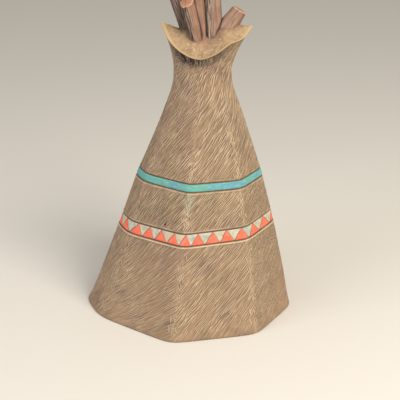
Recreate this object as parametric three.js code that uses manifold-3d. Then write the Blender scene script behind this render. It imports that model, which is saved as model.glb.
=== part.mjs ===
// Ceramic teepee figurine: one hollow casting in fired clay, eight-sided, open underneath.
// Millimetres. X runs to the viewer's right, Y away from the viewer, Z up from the table.
// The body leans a little to the right and narrows to a neck. Above it the collar flares
// into two points, and the stubs of five lodge poles rise out of its dished top.

import * as THREE from 'three';
import { mergeVertices } from 'three/addons/utils/BufferGeometryUtils.js';
import Module from 'manifold-3d';

const wasm = await Module();
wasm.setup();

// Body: the eight flat sides, each with the way it faces (0 is towards the viewer, positive
// to the right) and how far it stands from the middle as a share of the section's radius
const sides = [
  { faces: -68, reach: 1.077 },
  { faces: -36.4, reach: 0.96 },
  { faces: 12.7, reach: 0.993 },
  { faces: 59.3, reach: 1.044 },
  { faces: 108.5, reach: 0.99 },
  { faces: 152, reach: 0.985 },
  { faces: 197, reach: 0.965 },
  { faces: 244, reach: 1.01 },
];
const cornerSharpness = 25; // power of the soft corners, higher is sharper
const bodyRadius = [
  [0, 55.2], [7, 52.9], [28, 47.4], [55, 40], [83, 32], [104, 24.8], [121, 19.7], [133, 16.3], [141, 15.8],
];
const bodyShift = [[0, 0.5], [28, 3.2], [55, 4.9], [83, 6.7], [110, 8], [141, 8]]; // its lean to the right
// How much each millimetre to the right lifts a level line: the bands are cut a little aslant
const bandTilt = [[0, 0], [52, 0.044], [59, 0.044], [80, 0.011], [85, 0.011], [141, 0]];
const roundFrom = 100; // from this height the corners soften towards the round neck
const neckHeight = 141;
const neckRoundness = 0.75;
const footBevel = 1.2;

// Incised lines that frame the triangle band and the stripe, cut into the clay
const bandLines = [52, 58.4];
const stripeLines = [80.2, 84.5];
const lineHalfWidth = 0.5;
const lineDepth = 0.5;
const stripeProud = 0.2; // the stripe's clay stands a little above the etched ground

// Collar: its two points, its lip that dips at the front and back, and its rim
const tipReach = 25.3;
const lipDepth = 17.8; // from the middle to the lip, front and back
const collarShift = 10;
const collarFlare = 1.5; // power of the flare from the neck to the points
const lipFlare = 2.5; // power of the later, sharper flare of the lip at the front and back
const tipPoint = 1; // 0 leaves the lip an ellipse, 1 brings both ends to a point
const lipHeight = [
  [-1, 166.2], [-0.8, 157.7], [-0.5, 152.3], [-0.15, 150.1],
  [0.2, 152.8], [0.5, 157.4], [0.8, 159.5], [1, 164.6],
];
const rimThickness = 1;
const rimRound = 0.35;

// Dish: the top between the lip and the foot of the poles, which is an oval
const poleOval = { x: 11.8, y: 0, halfWidth: 15.5, halfDepth: 7.5 };
const poleOvalHeight = [
  [-1, 161.9], [-0.65, 159.6], [-0.3, 156.8], [0, 155.7], [0.3, 159], [0.6, 163], [1, 164.6],
];
const dishCentreHeight = 164;
const dishCurve = 1.4; // above 1 the dish starts level at the rim and climbs towards the poles

// Poles: foot and cut end of each, with its radius at both. The cut end slants by slantX and slantY.
const poles = [
  { foot: [6, 2, 148], end: [-8.4, 3, 187], radii: [5.2, 4.3], slantX: -0.15, slantY: 0.1 },
  { foot: [6.8, -1.8, 148], end: [-0.7, -9.5, 179.4], radii: [3.8, 3.7], slantX: 0.1, slantY: 0.35 },
  { foot: [8.6, -3, 148], end: [4.3, -1, 184], radii: [4.2, 4], slantX: 0.2, slantY: 0.1 },
  { foot: [13.9, -2, 148], end: [12.5, 0.5, 190], radii: [5, 4.5], slantX: 0.2, slantY: 0 },
  { foot: [11.8, -0.5, 150], end: [27.9, 0.5, 173.3], radii: [7.6, 3.9], slantX: 0.05, slantY: 0 },
];
const barkWaves = [[3, 0.03], [5, 0.045], [9, 0.03]]; // bark grooves: how many, depth as a share of radius
const endBevel = 0.7;

// Hollow: the wall left by the casting slip, and where the cavity closes below the neck
const wallThickness = 5;
const cavityTop = 118;

// How finely the surface is divided
const columns = 88;
const poleColumns = 28;
const cavityColumns = 32;

const radians = THREE.MathUtils.degToRad;
const mix = THREE.MathUtils.lerp;

// Value at x on a smooth curve through [x, value] stations, its slopes taken from the neighbours
function along(stations, x) {
  const last = stations.length - 1;
  let i = 0;
  while (i < last - 1 && x > stations[i + 1][0]) i += 1;
  const slope = (k) => {
    const before = stations[Math.max(k - 1, 0)];
    const after = stations[Math.min(k + 1, last)];
    return (after[1] - before[1]) / (after[0] - before[0]);
  };
  const [x0, y0] = stations[i];
  const [x1, y1] = stations[i + 1];
  const width = x1 - x0;
  const t = THREE.MathUtils.clamp((x - x0) / width, 0, 1);
  const t2 = t * t;
  const t3 = t2 * t;
  const ends = (2 * t3 - 3 * t2 + 1) * y0 + (3 * t2 - 2 * t3) * y1;
  return ends + width * ((t3 - 2 * t2 + t) * slope(i) + (t3 - t2) * slope(i + 1));
}

// Radius of the soft eight-sided section in one direction, as a share of its nominal radius
function sectionReach(turn, height) {
  let sum = 0;
  for (const { faces, reach } of sides) {
    const towards = Math.cos(turn - radians(faces)) / reach;
    if (towards > 0) sum += towards ** cornerSharpness;
  }
  const angular = sum ** (-1 / cornerSharpness);
  return mix(angular, 1, neckRoundness * THREE.MathUtils.smoothstep(height, roundFrom, neckHeight));
}

// A point of the body at a turn and a height, drawn in by an inset
function bodyPoint(turn, height, inset) {
  const radius = along(bodyRadius, height) * sectionReach(turn, height) - inset;
  const across = radius * Math.sin(turn);
  const lift = along(bandTilt, height) * across;
  return new THREE.Vector3(along(bodyShift, height) + across, -radius * Math.cos(turn), height + lift);
}

// A point of the collar: rise 0 is the neck and 1 the lip. The lip's plan narrows to its points.
function collarPoint(turn, rise, inset, drop) {
  const sine = Math.sin(turn);
  const cosine = Math.cos(turn);
  const reach = mix(sectionReach(turn, neckHeight), 1, rise);
  const neck = along(bodyRadius, neckHeight);
  const halfWidth = mix(neck, tipReach, rise ** collarFlare) * reach - 2 * inset;
  const halfDepth = mix(neck, lipDepth, rise ** lipFlare) * reach - inset;
  const shift = mix(along(bodyShift, neckHeight), collarShift, rise);
  const lens = cosine * Math.abs(cosine) ** (tipPoint * rise);
  const height = mix(neckHeight, along(lipHeight, sine), rise) - drop;
  return new THREE.Vector3(shift + halfWidth * sine, -halfDepth * lens, height);
}

// A point of the dish: fraction 0 is the rim's inner edge and 1 the oval at the foot of the poles
function dishPoint(turn, fraction) {
  const rim = collarPoint(turn, 1, rimThickness, rimRound);
  const oval = new THREE.Vector3(
    poleOval.x + poleOval.halfWidth * Math.sin(turn),
    poleOval.y - poleOval.halfDepth * Math.cos(turn),
    along(poleOvalHeight, Math.sin(turn)),
  );
  const point = rim.clone().lerp(oval, fraction);
  point.z = mix(rim.z, oval.z, fraction ** dishCurve);
  return point;
}

// Closed geometry from rings of points, bottom ring first, each ring counter-clockwise from above
function loft(rings, bottomCentre, topCentre) {
  const count = rings[0].length;
  const points = [...rings.flat(), bottomCentre, topCentre];
  const bottom = points.length - 2;
  const top = points.length - 1;
  const index = [];
  for (let row = 0; row < rings.length - 1; row += 1) {
    for (let column = 0; column < count; column += 1) {
      const next = (column + 1) % count;
      const a = row * count + column;
      const b = row * count + next;
      const c = a + count;
      const d = b + count;
      index.push(a, b, d, a, d, c);
    }
  }
  const lastRow = (rings.length - 1) * count;
  for (let column = 0; column < count; column += 1) {
    const next = (column + 1) % count;
    index.push(bottom, next, column);
    index.push(top, lastRow + column, lastRow + next);
  }
  const geometry = new THREE.BufferGeometry().setFromPoints(points);
  geometry.setIndex(index);
  return geometry;
}

function ring(count, pointAt) {
  return Array.from({ length: count }, (_, column) => pointAt((column / count) * 2 * Math.PI));
}

// Heights and insets of the body's rings, with a shallow cut at each incised line
function bodyRows() {
  const rows = [[0, footBevel], [footBevel / 3, footBevel / 3], [footBevel, 0]];
  for (const height of [7, 18, 30, 42]) rows.push([height, 0]);
  const lineRows = (lines, proud) => {
    const [low, high] = lines;
    rows.push([low - lineHalfWidth, 0], [low, lineDepth], [low + lineHalfWidth, -proud]);
    rows.push([high - lineHalfWidth, -proud], [high, lineDepth], [high + lineHalfWidth, 0]);
  };
  lineRows(bandLines, 0);
  rows.push([70, 0]);
  lineRows(stripeLines, stripeProud);
  for (const height of [93, 101, 109, 116, 123, 129, 135]) rows.push([height, 0]);
  return rows;
}

// The outside of the piece without its poles: body, collar, rim and dish
function shellGeometry() {
  const rings = [];
  for (const [height, inset] of bodyRows()) {
    rings.push(ring(columns, (turn) => bodyPoint(turn, height, inset)));
  }
  for (const rise of [0, 0.2, 0.4, 0.6, 0.8, 0.93]) {
    rings.push(ring(columns, (turn) => collarPoint(turn, rise, 0, 0)));
  }
  rings.push(ring(columns, (turn) => collarPoint(turn, 1, 0, rimRound)));
  rings.push(ring(columns, (turn) => collarPoint(turn, 1, rimThickness / 2, 0)));
  for (const fraction of [0, 0.25, 0.5, 0.75, 1]) {
    rings.push(ring(columns, (turn) => dishPoint(turn, fraction)));
  }
  const bottomCentre = new THREE.Vector3(along(bodyShift, 0), 0, 0);
  const topCentre = new THREE.Vector3(poleOval.x, poleOval.y, dishCentreHeight);
  return loft(rings, bottomCentre, topCentre);
}

// A pole stub: a round stick with bark grooves along it and a bevelled, slightly slanting cut end
function poleGeometry(pole, order) {
  const foot = new THREE.Vector3(...pole.foot);
  const end = new THREE.Vector3(...pole.end);
  const axis = end.clone().sub(foot);
  const length = axis.length();
  axis.normalize();
  const sideways = new THREE.Vector3(1, 0, 0);
  sideways.addScaledVector(axis, -sideways.dot(axis)).normalize();
  const behind = new THREE.Vector3().crossVectors(axis, sideways);
  const stations = [[0, 0], [0.35, 0], [0.55, 0], [0.8, 0], [1 - endBevel / length, 0], [1, endBevel]];
  const rings = stations.map(([share, inset]) => ring(poleColumns, (turn) => {
    let bark = 1;
    for (const [count, depth] of barkWaves) bark += depth * Math.cos(count * (turn + order));
    const radius = mix(...pole.radii, share) * bark - inset;
    const across = radius * Math.cos(turn);
    const back = radius * Math.sin(turn);
    const slant = share ** 4 * (pole.slantX * across + pole.slantY * back);
    return foot.clone().addScaledVector(axis, share * length + slant)
      .addScaledVector(sideways, across).addScaledVector(behind, back);
  }));
  return loft(rings, foot, end);
}

// The cavity: the body's own section drawn in by the wall, from below the foot to under the neck
function cavityGeometry() {
  const below = 2;
  const crown = 6;
  const rings = [ring(cavityColumns, (turn) => bodyPoint(turn, 0, wallThickness).setZ(-below))];
  const addRing = (height, inset) => {
    rings.push(ring(cavityColumns, (turn) => bodyPoint(turn, height, inset)));
  };
  for (const height of [0, 14, 28, 56, 84, 106, cavityTop - crown]) addRing(height, wallThickness);
  addRing(cavityTop - crown / 3, wallThickness + crown / 2);
  const bottomCentre = new THREE.Vector3(along(bodyShift, 0), 0, -below);
  const topCentre = new THREE.Vector3(along(bodyShift, cavityTop), 0, cavityTop);
  return loft(rings, bottomCentre, topCentre);
}

function toSolid(geometry) {
  const merged = mergeVertices(geometry, 1e-4);
  const vertProperties = new Float32Array(merged.attributes.position.array);
  const triVerts = new Uint32Array(merged.index.array);
  return new wasm.Manifold(new wasm.Mesh({ numProp: 3, vertProperties, triVerts }));
}

function toGeometry(solid) {
  const mesh = solid.getMesh();
  const geometry = new THREE.BufferGeometry();
  geometry.setAttribute('position', new THREE.BufferAttribute(new Float32Array(mesh.vertProperties), 3));
  geometry.setIndex(new THREE.BufferAttribute(new Uint32Array(mesh.triVerts), 1));
  geometry.computeVertexNormals();
  return geometry;
}

// The whole casting, with its origin under the middle of its outline
function teepeeGeometry() {
  let solid = toSolid(shellGeometry());
  poles.forEach((pole, order) => {
    solid = solid.add(toSolid(poleGeometry(pole, order)));
  });
  solid = solid.subtract(toSolid(cavityGeometry()));
  const geometry = toGeometry(solid);
  geometry.computeBoundingBox();
  const middle = geometry.boundingBox.getCenter(new THREE.Vector3());
  geometry.translate(-middle.x, -middle.y, -geometry.boundingBox.min.z);
  return geometry;
}

// Fired, stained clay, matt and dry
const clay = new THREE.MeshStandardMaterial({ color: '#a98a68', roughness: 0.85, metalness: 0 });

const teepee = new THREE.Mesh(teepeeGeometry(), clay);
teepee.name = 'teepee';

const figurine = new THREE.Group();
figurine.add(teepee);

export default figurine;
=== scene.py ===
# Ceramic teepee figurine: one hollow slip casting in fired clay, scratched by hand and painted.
# Sizes are in millimetres until a mesh is made. The casting stands where the CAD part stands.
import bpy
import numpy as np
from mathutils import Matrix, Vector


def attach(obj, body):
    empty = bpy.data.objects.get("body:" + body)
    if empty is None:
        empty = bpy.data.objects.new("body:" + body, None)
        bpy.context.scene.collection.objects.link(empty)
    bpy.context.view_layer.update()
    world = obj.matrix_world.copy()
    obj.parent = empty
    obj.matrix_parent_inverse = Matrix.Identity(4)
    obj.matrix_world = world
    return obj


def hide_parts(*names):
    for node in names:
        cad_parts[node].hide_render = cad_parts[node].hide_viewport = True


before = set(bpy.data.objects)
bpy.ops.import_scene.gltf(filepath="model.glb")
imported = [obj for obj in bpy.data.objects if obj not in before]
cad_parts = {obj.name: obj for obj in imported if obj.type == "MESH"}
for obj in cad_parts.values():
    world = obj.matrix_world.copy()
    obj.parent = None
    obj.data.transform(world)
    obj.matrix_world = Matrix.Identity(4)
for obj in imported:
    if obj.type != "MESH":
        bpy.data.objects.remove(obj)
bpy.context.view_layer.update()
metre = 0.001  # one millimetre

# Shape of the casting. turn 0 faces the viewer and grows to the viewer's right.
casting = {
    "facing": (-68, -36.4, 12.7, 59.3, 108.5, 152, 197, 244),  # the way each of the eight sides faces, degrees
    "reach": (1.077, 0.96, 0.993, 1.044, 0.99, 0.985, 0.965, 1.01),  # how far out it stands, share of the radius
    "sharpness": 25,  # of the corners between sides
    "radius": [(0, 55.2), (7, 52.9), (28, 47.4), (55, 40), (83, 32), (104, 24.8), (121, 19.7), (133, 16.3),
               (141, 15.8)],
    "shift": [(0, 0.5), (28, 3.2), (55, 4.9), (83, 6.7), (110, 8), (141, 8)],  # the lean to the right
    "tilt": [(0, 0), (52, 0.044), (59, 0.044), (80, 0.011), (85, 0.011), (141, 0)],  # how bands climb to the right
    "roundFrom": 100, "neck": 141, "neckRoundness": 0.75,
    "wall": 5, "cavityTop": 118,
    "tipReach": 25.3, "lipDepth": 17.8, "collarShift": 10, "collarFlare": 1.5, "lipFlare": 2.5,
    "lip": [(-1, 166.2), (-0.8, 157.7), (-0.5, 152.3), (-0.15, 150.1), (0.2, 152.8), (0.5, 157.4), (0.8, 159.5),
            (1, 164.6)],  # height of the lip from the left point to the right one
    "rim": 1, "rimRound": 0.35,
    "oval": (11.8, 0, 15.5, 7.5),  # foot of the poles: middle x, y, half width, half depth
    "ovalHeight": [(-1, 161.9), (-0.65, 159.6), (-0.3, 156.8), (0, 155.7), (0.3, 159), (0.6, 163), (1, 164.6)],
    "dishCentre": 164, "dishCurve": 1.4,
    "middle": (-0.366, -0.41),  # what the part's outline is centred on
    "columns": 528,
}

# Hand work on the casting. A mark is (turn in degrees, height, half width, half height), in millimetres.
handwork = {
    "bandLines": (52, 58.4), "stripeLines": (80.2, 84.5),
    "lineHalfWidth": 0.31, "lineDepth": 0.45, "burr": 0.16, "stripeProud": 0.2,
    "apexes": (-72.5, -56.3, -44.2, -31.3, -18.3, -8.6, 1.1, 13.1, 24.3, 35.8, 48.7, 64.8, 81),  # of the front triangles
    "trianglesBehind": 17,  # evenly spaced round the rest
    "zigzagDepth": 0.2,
    # how far a stroke moves sideways for each millimetre up, at the foot and 45, 95 and 140 mm up, for each side
    "leanHeights": (0, 45, 95, 140),
    "lean": ((0.5, 0.5, 0.4, 0.5), (1.5, 0.75, 0.68, 0.6), (0.8, 0.95, 0.9, 0.4), (1.7, 1.8, 1.55, 0.6),
             (1.3, 1.1, 0.9, 0.5), (0.9, 1.0, 0.8, 0.5), (0.8, 0.9, 0.9, 0.5), (0.6, 0.7, 0.6, 0.5)),
    # lane width, cell length, skew, chance and start of each layer of strokes
    "strokes": ((1.5, 11, 0, 0.85, 100), (1.2, 6.5, 0.14, 0.6, 300), (2.2, 15, -0.16, 0.45, 500)),
    "ridgeStrokes": ((1.3, 5, 0.25, 0.6, 700), (1.1, 3.5, -0.5, 0.4, 900)),
    "strokeDepth": 0.17, "strokeBurr": 0.1,
    "hem": 3.6,  # smooth strip above the foot
    "wander": 0.35,  # how far the hand-finished sides stray from flat
    "scuffs": ((-17, 96, 5, 6), (29, 103, 4, 8), (-58, 20, 4, 8), (-51, 31, 6, 4), (-41, 12, 5, 5), (0, 11, 6, 6),
               (29, 12, 6, 3), (38, 9, 2, 7), (52, 36, 5, 12), (-9, 67, 2.5, 8), (36, 72, 3, 8)),
    "smooths": ((8, 122, 4, 6), (-8, 107, 3, 9), (-24, 41, 6, 5), (-25, 18, 7, 5), (16, 35, 6, 4), (76, 22, 7, 18)),
    "pit": (-29, 61.4),  # a small hole, turn and height
}

rng = np.random.default_rng(27)
noiseTable = rng.random((32, 32, 32))


def mix(a, b, share):
    return a + (b - a) * share


def smoothStep(x, low, high):
    # 3t^2 - 2t^3 between low and high
    t = np.clip((x - low) / (high - low), 0, 1)
    return t * t * (3 - 2 * t)


def wrapped(turn):
    # the same angle between minus half a turn and half a turn
    return (turn + np.pi) % (2 * np.pi) - np.pi


def along(stations, x):
    # cubic Hermite curve through the stations, each slope taken from the station's two neighbours
    at, value = np.array(stations, float).T
    last = len(at) - 1
    order = np.arange(last + 1)
    before, after = np.clip(order - 1, 0, last), np.clip(order + 1, 0, last)
    slope = (value[after] - value[before]) / (at[after] - at[before])
    i = np.clip(np.searchsorted(at, x, side="left") - 1, 0, last - 1)
    width = at[i + 1] - at[i]
    t = np.clip((x - at[i]) / width, 0, 1)
    ends = (2 * t**3 - 3 * t**2 + 1) * value[i] + (3 * t**2 - 2 * t**3) * value[i + 1]
    return ends + width * ((t**3 - 2 * t**2 + t) * slope[i] + (t**3 - t**2) * slope[i + 1])


def softNoise(points, size, layer=0):
    # value noise, -1 to 1: a table of random numbers on a grid of the given size, eased between its corners
    place = np.asarray(points, float) / size + 7.3 * layer + 1000
    cell = np.floor(place).astype(int)
    f = place - cell
    f = f * f * (3 - 2 * f)
    total = 0
    for corner in np.ndindex(2, 2, 2):
        weight = np.prod(np.abs(1 - np.array(corner) - f), -1)
        x, y, z = np.moveaxis((cell + corner + (0, 0, 5 * layer)) % 32, -1, 0)
        total = total + weight * noiseTable[x, y, z]
    return 2 * total - 1


def whiteNoise(*numbers):
    # the shader's own White Noise, 0 to 1: the lookup3 hash of the numbers' bits, so cut and painted strokes agree
    parts = [np.full(np.shape(numbers[0]), 0xdeadbeef + 4 * len(numbers) + 13, np.uint32) for _ in range(3)]
    for part, number in zip(parts, numbers):
        part += np.ascontiguousarray(number, np.float32).view(np.uint32)
    for step, shift in enumerate((14, 11, 25, 16, 4, 14, 24)):
        target, source = (step + 2) % 3, (step + 1) % 3
        parts[target] ^= parts[source]
        parts[target] -= (parts[source] << np.uint32(shift)) | (parts[source] >> np.uint32(32 - shift))
    return parts[2] / 0xffffffff


def strokes(across, onward, layers, share):
    # Lanes side by side, cut into cells that may hold one stroke. Its burr is taper * bump(d) and its groove
    # taper * bump(d + 0.5), with d the distance from its middle line and taper = 1 - t^2 along it.
    groove, burr = 0, 0
    for lane, length, skew, chance, start in layers:
        at = (across + skew * onward) / lane + start
        row = np.floor(at)
        run = onward / length + whiteNoise(row)
        cell = np.floor(run)
        one = np.ones_like(cell)
        first, second, third = whiteNoise(row, cell), whiteNoise(row, cell, one), whiteNoise(row, cell, 2 * one)
        t = (run - cell - 0.5) / (0.24 + 0.24 * second)
        d = (at - row - 0.44 - 0.26 * first) * lane
        force = np.clip(6 * (chance * share - third), 0, 1) * np.clip(1 - t**2, 0, 1)
        burr = np.maximum(burr, force * (1 - smoothStep(np.abs(d), 0.05, 0.45)))
        groove = np.maximum(groove, force * (1 - smoothStep(np.abs(d + 0.5), 0.05, 0.45)))
    return groove, burr


def sectionReach(turn, height):
    # soft eight-sided section: (sum over sides of (cos(turn - facing) / reach)^sharpness)^(-1 / sharpness)
    total = 0
    for facing, reach in zip(casting["facing"], casting["reach"]):
        total = total + np.clip(np.cos(turn - np.radians(facing)) / reach, 0, None)**casting["sharpness"]
    angular = total**(-1 / casting["sharpness"])
    return mix(angular, 1, casting["neckRoundness"] * smoothStep(height, casting["roundFrom"], casting["neck"]))


def bodyPoint(turn, height, inset=0):
    # radius(height) * section(turn) round a middle that leans, each level tilted up to the right
    radius = along(casting["radius"], height) * sectionReach(turn, height) - inset
    across = radius * np.sin(turn)
    lift = along(casting["tilt"], height) * across
    return np.stack([along(casting["shift"], height) + across, -radius * np.cos(turn), height + lift], -1)


def collarPoint(turn, rise, inset=0, drop=0):
    # the section flares from the neck (rise 0) to a lens-shaped lip (rise 1): across width * sin(turn),
    # back -depth * cos(turn) * |cos(turn)|^rise
    sine, cosine = np.sin(turn), np.cos(turn)
    reach = mix(sectionReach(turn, casting["neck"]), 1, rise)
    neck = along(casting["radius"], casting["neck"])
    width = mix(neck, casting["tipReach"], rise**casting["collarFlare"]) * reach - 2 * inset
    depth = mix(neck, casting["lipDepth"], rise**casting["lipFlare"]) * reach - inset
    shift = mix(along(casting["shift"], casting["neck"]), casting["collarShift"], rise)
    height = mix(casting["neck"], along(casting["lip"], sine), rise) - drop
    return np.stack([shift + width * sine, -depth * cosine * np.abs(cosine)**rise, height], -1)


def dishPoint(turn, share):
    # straight in plan from the rim (0) to the oval at the poles (1), its height eased by share^curve, and from
    # there to the middle (2)
    x, y, halfWidth, halfDepth = casting["oval"]
    outer = np.clip(share, 0, 1)
    inner = np.clip(share - 1, 0, 1)
    rim = collarPoint(turn, np.ones_like(turn), casting["rim"], casting["rimRound"])
    oval = np.stack([x + halfWidth * np.sin(turn), y - halfDepth * np.cos(turn),
                     along(casting["ovalHeight"], np.sin(turn))], -1)
    point = mix(rim, oval, outer[..., None])
    point[..., 2] = mix(rim[..., 2], oval[..., 2], outer**casting["dishCurve"])
    return mix(point, np.array([x, y, casting["dishCentre"]]), inner[..., None])


def ringNormals(grid):
    # cross product of the steps round the ring and up the rows
    roundStep = np.roll(grid, -1, 1) - np.roll(grid, 1, 1)
    normal = np.cross(roundStep, np.gradient(grid, axis=0))
    return normal / (np.linalg.norm(normal, axis=-1, keepdims=True) + 1e-9)


def makeMesh(name, points, quads, triangles):
    # puts whole arrays of points and faces into a new mesh object, centred as the part is, millimetres to metres
    mesh = bpy.data.meshes.new(name)
    placed = (points - np.array([*casting["middle"], 0])) * metre
    corners = np.concatenate([quads.ravel(), triangles.ravel()]).astype(np.int32)
    sizes = np.concatenate([np.full(len(quads), 4), np.full(len(triangles), 3)]).astype(np.int32)
    mesh.vertices.add(len(placed))
    mesh.vertices.foreach_set("co", placed.astype(np.float32).ravel())
    mesh.loops.add(len(corners))
    mesh.loops.foreach_set("vertex_index", corners)
    mesh.polygons.add(len(sizes))
    mesh.polygons.foreach_set("loop_start", (np.cumsum(sizes) - sizes).astype(np.int32))
    mesh.polygons.foreach_set("loop_total", sizes)
    mesh.update(calc_edges=True)
    mesh.validate()
    mesh.polygons.foreach_set("use_smooth", np.ones(len(sizes), bool))
    piece = bpy.data.objects.new(name, mesh)
    bpy.context.scene.collection.objects.link(piece)
    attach(piece, "root")
    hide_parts("teepee")
    print(name, len(placed), "points,", 2 * len(quads) + len(triangles), "triangles")
    return piece


def addValues(piece, values):
    # one number per point for each named attribute
    for name, numbers in values.items():
        layer = piece.data.attributes.new(name, "FLOAT", "POINT")
        layer.data.foreach_set("value", np.asarray(numbers, np.float32).ravel())


def addMap(piece, name, u, v):
    # a UV map from one pair of numbers per face corner
    layer = piece.data.uv_layers.new(name=name)
    layer.data.foreach_set("uv", np.stack([u, v], -1).astype(np.float32).ravel())


def gridFaces(start, rows, columns):
    # quads between rows of a closed ring, counter-clockwise seen from outside
    row, column = np.meshgrid(np.arange(rows - 1), np.arange(columns), indexing="ij")
    a = start + row * columns + column
    b = start + row * columns + (column + 1) % columns
    return np.stack([a, b, b + columns, a + columns], -1).reshape(-1, 4)


def joinFaces(low, lowCount, high, highCount):
    # triangles between a ring and one with twice or half as many points
    if highCount == 2 * lowCount:
        k = np.arange(lowCount)
        a, b = low + k, low + (k + 1) % lowCount
        c, d, e = high + 2 * k, high + 2 * k + 1, high + (2 * k + 2) % highCount
        return np.concatenate([np.stack([a, d, c], -1), np.stack([a, b, d], -1), np.stack([b, e, d], -1)])
    k = np.arange(highCount)
    a, b = high + k, high + (k + 1) % highCount
    c, d, e = low + 2 * k, low + 2 * k + 1, low + (2 * k + 2) % lowCount
    return np.concatenate([np.stack([c, d, a], -1), np.stack([d, b, a], -1), np.stack([d, e, b], -1)])


def capFaces(centre, ring, count, upward):
    # a fan of triangles from a middle point to a ring
    k = np.arange(count)
    a, b = ring + k, ring + (k + 1) % count
    c = np.full(count, centre)
    return np.stack([a, b, c], -1) if upward else np.stack([b, a, c], -1)


print("working out the casting")
# heights of the outer rows: close together at the incised lines, and about 1.15 mm apart between them
lines = np.array([*handwork["bandLines"], *handwork["stripeLines"]])
nearLine = (-1.4, -1.1, -0.8, -0.5, -0.25, 0, 0.25, 0.5, 0.8, 1.1, 1.4)
outerHeights = [0, 0.2, 0.6, 1.2, *np.linspace(2.3, 49.4, 42), *np.linspace(54.4, 56, 4),
                *np.linspace(61, 77.8, 15), 82.4, *np.linspace(87, 104.4, 16)]
for line in lines:
    outerHeights.extend(line + np.array(nearLine))
outerHeights = np.unique(np.round(outerHeights, 2))
outerInset = np.interp(outerHeights, (0, 0.2, 0.6, 1.2), (1.2, 0.7, 0.25, 0))

# the columns lean with the scratched strokes, so that the strokes run along the grid
climbHeights = np.arange(0, 142)
climbRate = mix(0.9, 0.25, smoothStep(climbHeights, 100, 140)) / along(casting["radius"], climbHeights)
climbTurn = np.cumsum(climbRate) - climbRate


def columnTurns(count, heights):
    # evenly spaced turns, each row turned a little further than the one below
    return np.linspace(0, 2 * np.pi, count, endpoint=False) + np.interp(heights, climbHeights, climbTurn)[:, None]


full = casting["columns"]
half = full // 2  # above 105 mm, in the dish and in the hollow half as many columns are enough
outerTurn = columnTurns(full, outerHeights)
outerLevel = outerHeights[:, None] + 0 * outerTurn
outerGrid = bodyPoint(outerTurn, outerLevel, outerInset[:, None])

upperHeights = np.linspace(105.6, 139.9, 31)
collarRise = np.linspace(0, 0.97, 26)
rimInset, rimDrop = np.array([(0, 0.35), (0.12, 0.08), (0.5, 0), (0.88, 0.08)]).T[..., None]
dishShare = np.concatenate([np.linspace(0.06, 1, 17), np.linspace(1.12, 1.88, 7)])
upperTurn = columnTurns(half, upperHeights)
topTurn = columnTurns(half, np.full(1, 160))
collarTurn, rimTurn, dishTurn = (np.repeat(topTurn, count, 0) for count in (26, 4, len(dishShare)))
upperGrid = np.concatenate([
    bodyPoint(upperTurn, upperHeights[:, None] + 0 * upperTurn),
    collarPoint(collarTurn, collarRise[:, None] + 0 * collarTurn),
    collarPoint(rimTurn, np.ones_like(rimTurn), rimInset, rimDrop),
    dishPoint(dishTurn, dishShare[:, None] + 0 * dishTurn),
])
# level: the height on the body, 141 to 167 up the collar, 170 on the rim, 180 to 200 in the dish, below 0 inside
upperTurn = np.concatenate([upperTurn, collarTurn, rimTurn, dishTurn])
upperLevels = np.concatenate([upperHeights, 141 + 27 * collarRise, np.full(4, 170), 180 + 10 * dishShare])
upperLevel = upperLevels[:, None] + 0 * upperTurn

cavityHeights = np.array([116, 112, 106, 98, 88, 78, 68, 58, 48, 38, 28, 18, 9, 3, 0.5, 0])
cavityInset = np.array([8, 5.3, *[casting["wall"]] * 12, 5.2, 5.6])
cavityTurn = np.repeat(columnTurns(half, np.zeros(1)), len(cavityHeights), 0)
cavityLevel = -cavityHeights[:, None] - 0.5 + 0 * cavityTurn
cavityGrid = bodyPoint(cavityTurn, cavityHeights[:, None] + 0 * cavityTurn, cavityInset[:, None])

# arc length round the band, along which the painted triangles are counted
bandTurns = np.radians(np.linspace(-180, 180, 1441))
bandPath = bodyPoint(bandTurns, np.full_like(bandTurns, 55))
bandArc = np.concatenate([[0], np.cumsum(np.linalg.norm(np.diff(bandPath, axis=0), axis=1))])
apexArc = np.interp(np.radians(handwork["apexes"]), bandTurns, bandArc)
countAll = len(apexArc) - 1 + handwork["trianglesBehind"]
behindArc = np.linspace(apexArc[-1], apexArc[0] + bandArc[-1], handwork["trianglesBehind"] + 1)[1:]
knotArc = np.concatenate([apexArc, behindArc])


def triangleCount(turn):
    # how many painted triangles from the leftmost front one, a whole number at each apex
    arc = np.interp(wrapped(turn), bandTurns, bandArc)
    arc = np.where(arc < apexArc[0], arc + bandArc[-1], arc)
    return np.interp(arc, knotArc, np.arange(countAll + 1))


# ridge between each side and the next: where cos(turn - facing) / reach is the same for both
facings = np.radians(casting["facing"])
nextFacings = np.roll(facings, -1)
reaches, nextReaches = np.array(casting["reach"]), np.roll(casting["reach"], -1)
ridgeTurns = np.arctan2(np.cos(nextFacings) / nextReaches - np.cos(facings) / reaches,
                        np.sin(facings) / reaches - np.sin(nextFacings) / nextReaches)
between = facings + wrapped(nextFacings - facings) / 2
ridgeTurns = between + wrapped(2 * (ridgeTurns - between)) / 2


def besideRidge(turn, level):
    # distance to the nearest ridge in millimetres, positive to its right
    away = wrapped(turn[..., None] - ridgeTurns)
    nearest = np.take_along_axis(away, np.argmin(np.abs(away), -1)[..., None], -1)[..., 0]
    return nearest * along(casting["radius"], np.clip(level, 0, 141))


def sideOf(turn, points):
    # the side that a point lies on: the largest cos(turn - facing) / reach, its border a little unsteady
    unsteady = turn + 0.02 * softNoise(points, 6, 3)
    return np.argmax(np.cos(unsteady[..., None] - facings) / reaches, -1)


# sideways travel of a stroke from the foot to each millimetre of slope, for each side
leanAt = np.array([np.interp(np.arange(220), handwork["leanHeights"], lean) for lean in handwork["lean"]])
leanTravel = np.cumsum(leanAt, 1) - leanAt


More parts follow.
